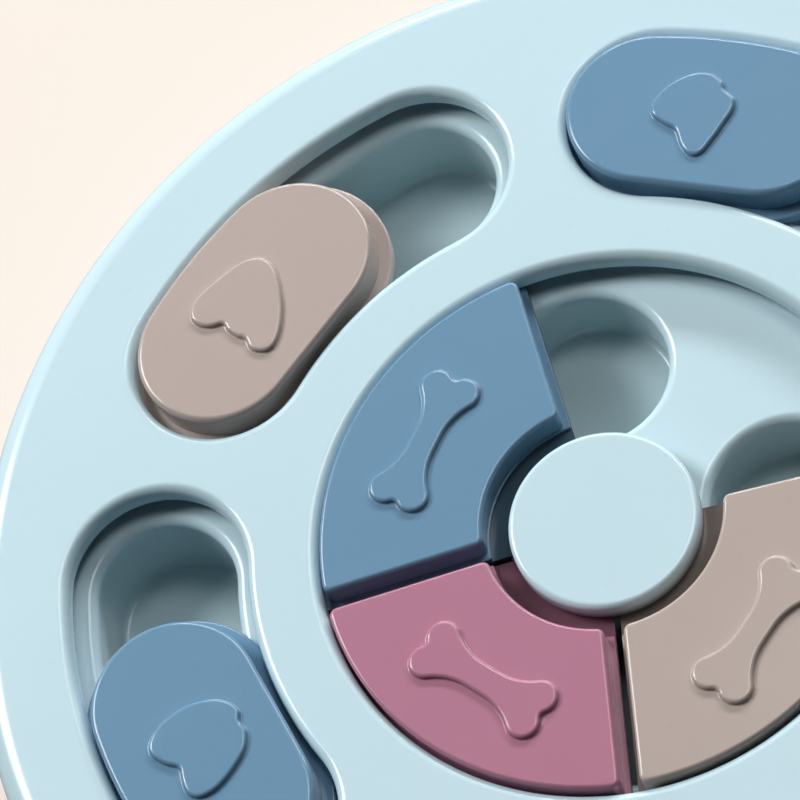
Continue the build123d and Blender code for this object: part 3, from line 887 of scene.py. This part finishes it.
def moving_piece(shell, flange, low, loops, high, plan, level, corner, spread):
    """Wall, rounded top with its figure, and the hollow below, between the flange's upper and lower ring.

    The loops are those of the body, the hollow and the figure, and the level is the height of the flat top.
    """
    body, inside, figure = loops
    ceiling, edge = level - plan.wall, 0.6 * MM
    top, foot = shell.sweep(body, [*bend((0, level), corner, corner, 8), (0, high.flange_top)])
    hollow, roof = shell.sweep(inside, [(0, high.flange_bottom), (0, ceiling - edge), (-edge, ceiling)])
    root, crown = raised_figure(shell, figure, level, plan.figure_height, spread)
    for rings in ((flange, foot), (low, hollow), (roof,), (top, root), (crown,)):
        shell.fill(*rings)


class FEEDER_OT_sliders(bpy.types.Operator):
    """Five hollow sliding covers with flanges and raised hearts or pads"""

    bl_idname = "feeder.sliders"
    bl_label = "Sliding covers"

    def execute(self, context):
        high, plan, finish = settings(context)
        for number, (rest, figure, colour) in enumerate(SLIDERS, start=1):
            node = "slider_%d" % number
            piece = self.slider("sliding_cover_%d" % number, SLOT_ANGLES[number - 1] + rest, figure, high, plan)
            plastic = moulded_plastic("%s plastic" % colour.capitalize(), getattr(finish, colour))
            place_piece(piece, plastic, node, [node])
        return {"FINISHED"}

    def slider(self, name, angle, figure, high, plan):
        """Flange, and the cover on it with its figure."""
        step, edge = 0.6 * MM, 0.3 * MM
        shapes = [cover_loop(plan, grow) for grow in (plan.slider_flange, 0, -plan.wall)]
        shapes.append(spline_loop(FIGURES[figure]))
        flange_loop, *loops = [turned(shape, angle, (plan.slot_radius, 0)) for shape in shapes]
        shell = Shell()
        flange, low = shell.sweep(flange_loop, [
            *bend((0, high.flange_top), step, step, 4), (0, high.flange_bottom + edge), (-edge, high.flange_bottom),
        ])
        moving_piece(shell, flange, low, loops, high, plan, high.slider_top, corner=1.15 * MM, spread=0.05 * MM)
        return shell.finish(name)


class FEEDER_OT_tiles(bpy.types.Operator):
    """Three hollow turning tiles with flanges and raised bones"""

    bl_idname = "feeder.tiles"
    bl_label = "Turning tiles"

    def execute(self, context):
        high, plan, finish = settings(context)
        start, painted_shade_rise, painted_shade_share = TILE_START, 0.4 * MM, 0.3
        for number, (sector, colour, shift, turn) in enumerate(TILES, start=1):
            node, shade = "tile_%d" % number, getattr(finish, colour)
            # painted shade: the tile darkens below its flange top, in the gap round the hub where shade falls
            painted_shade = high.flange_top + painted_shade_rise, high.tongue_top, [value * painted_shade_share for value in shade]
            piece = self.tile("turning_tile_%d" % number, sector, start + sector / 2, shift, turn, high, plan)
            start += sector
            plastic = moulded_plastic("%s tile plastic" % colour.capitalize(), shade, painted_shade=painted_shade)
            place_piece(piece, plastic, node, [node])
        return {"FINISHED"}

    def tile(self, name, sector, angle, shift, turn, high, plan):
        """Flange with its thin tongue, and the tile on it with its bone."""
        step, edge, skin = 0.2 * MM, 0.3 * MM, 0.05 * MM
        flange_corner, body_corner, hollow_corner = 0.5 * MM, 1.6 * MM, 1.0 * MM
        middle = (plan.tile_inner + plan.tile_outer) / 2
        bone = turned(turned(bone_loop(), turn + 90), 0, (middle, 0))
        flange_loop, tongue_loop, *loops = [turned(sector_loop(sector, *sizes), angle) for sizes in (
            (plan.flange_inner, plan.flange_outer - skin, plan.flange_inset + skin, flange_corner),
            (plan.tongue_inner, plan.flange_outer, plan.flange_inset, flange_corner),
            (plan.tile_inner, plan.tile_outer, plan.tile_inset, body_corner),
            (plan.tile_inner + plan.wall, plan.tile_outer - plan.wall, plan.tile_inset + plan.wall, hollow_corner),
        )]
        loops.append(turned(bone, angle + shift))
        shell = Shell()
        flange, foot = shell.sweep(flange_loop, [*bend((0, high.flange_top), step, step, 4), (0, high.tongue_top)])
        tongue, low = shell.sweep(tongue_loop, [
            (0, high.tongue_top), (0, high.flange_bottom + edge), (-edge, high.flange_bottom),
        ])
        shell.fill(tongue, foot)
        moving_piece(shell, flange, low, loops, high, plan, high.tile_top, corner=0.85 * MM, spread=0.3 * MM)
        return shell.finish(name)


class FEEDER_OT_hub_cap(bpy.types.Operator):
    """Round cap on the post that holds the tiles down"""

    bl_idname = "feeder.hub_cap"
    bl_label = "Hub cap"

    def execute(self, context):
        high, plan, finish = settings(context)
        shell = Shell()
        corner, edge = 1.2 * MM, 0.3 * MM
        boss, core = plan.hub_boss - plan.hub_radius, plan.screw_core - plan.hub_radius
        rings = shell.sweep(circle(plan.hub_radius, 144), [
            *bend((0, high.hub_top), corner, corner, 8),
            (0, high.hub_edge + edge), (-edge, high.hub_edge), (-plan.wall, high.hub_edge),
            (-plan.wall, high.hub_under), (boss, high.hub_under), (boss, high.tray_top), (core, high.tray_top),
            (core, high.hub_hole_end),
        ])
        for ring in rings:
            shell.fill(ring)
        painted_shade_share = 0.25
        # painted shade: the cap's side darkens from its rounded top edge down to its lower edge
        painted_shade = high.hub_top - corner, high.hub_edge, [value * painted_shade_share for value in finish.pale]
        place_piece(
            shell.finish("middle_cap"), moulded_plastic("Pale blue cap plastic", finish.pale, painted_shade=painted_shade), "base",
            ["hub_cap"],
        )
        return {"FINISHED"}


class FEEDER_OT_feet(bpy.types.Operator):
    """Five rubber feet with ringed faces"""

    bl_idname = "feeder.feet"
    bl_label = "Rubber feet"

    def execute(self, context):
        high, plan, finish = settings(context)
        rubber = foot_rubber(finish.rubber)
        edge = ((0, 0.6), (-0.05, 0.36), (-0.2, 0.15), (-0.4, 0.04), (-0.6, 0))
        start, end, pitch, depth = 0.9, 5.0, 1.366, 0.3
        run = np.linspace(start, end, 42)
        grooves = [(-offset, depth * max(0.0, sin(2 * pi * (offset - start) / pitch)) ** 2) for offset in run]
        for number, angle in enumerate(CUP_ANGLES, start=1):
            shell = Shell()
            rings = shell.sweep(circle(plan.foot_radius, 64, on_ring(plan.slot_radius, angle)), [
                (0, high.cup_underside + plan.foot_seat), *[(x * MM, z * MM) for x, z in (*edge, *grooves)],
            ])
            for ring in rings:
                shell.fill(ring)
            place_piece(shell.finish("rubber_foot_%d" % number), rubber, "base", ["foot_%d" % number])
        return {"FINISHED"}


class FEEDER_OT_screws(bpy.types.Operator):
    """Zinc finish for the screws"""

    bl_idname = "feeder.screws"
    bl_label = "Screws"

    def execute(self, context):
        steel = zinc_steel(context.scene.feeder_finish.steel)
        for name in ["hub_screw"] + ["cover_screw_%d" % number for number in range(1, 6)]:
            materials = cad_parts[name].data.materials
            materials.clear()
            materials.append(steel)
        return {"FINISHED"}


class FEEDER_PT_panel(bpy.types.Panel):
    """Sidebar panel with one button for each step"""

    bl_label = "Dog puzzle feeder"
    bl_idname = "FEEDER_PT_panel"
    bl_space_type = "VIEW_3D"
    bl_region_type = "UI"
    bl_category = "Feeder"

    def draw(self, context):
        for operator in STEPS:
            self.layout.operator(operator.bl_idname)


STEPS = (
    FEEDER_OT_stage, FEEDER_OT_top_cover, FEEDER_OT_cup_tray, FEEDER_OT_sliders, FEEDER_OT_tiles,
    FEEDER_OT_hub_cap, FEEDER_OT_feet, FEEDER_OT_screws,
)
SETTINGS = {
    "feeder_heights": FeederHeights,
    "feeder_plan": FeederPlan,
    "feeder_finish": FeederFinish,
    "feeder_stage": FeederStage,
}
CLASSES = (*SETTINGS.values(), *STEPS, FEEDER_PT_panel)


def register():
    for item in CLASSES:
        bpy.utils.register_class(item)
    for name, group in SETTINGS.items():
        setattr(bpy.types.Scene, name, bpy.props.PointerProperty(type=group))


def unregister():
    for name in SETTINGS:
        delattr(bpy.types.Scene, name)
    for item in reversed(CLASSES):
        bpy.utils.unregister_class(item)


def main():
    register()
    bpy.ops.feeder.stage()
    bpy.ops.feeder.top_cover()
    bpy.ops.feeder.cup_tray()
    bpy.ops.feeder.sliders()
    bpy.ops.feeder.tiles()
    bpy.ops.feeder.hub_cap()
    bpy.ops.feeder.feet()
    bpy.ops.feeder.screws()


if __name__ == "__main__":
    main()
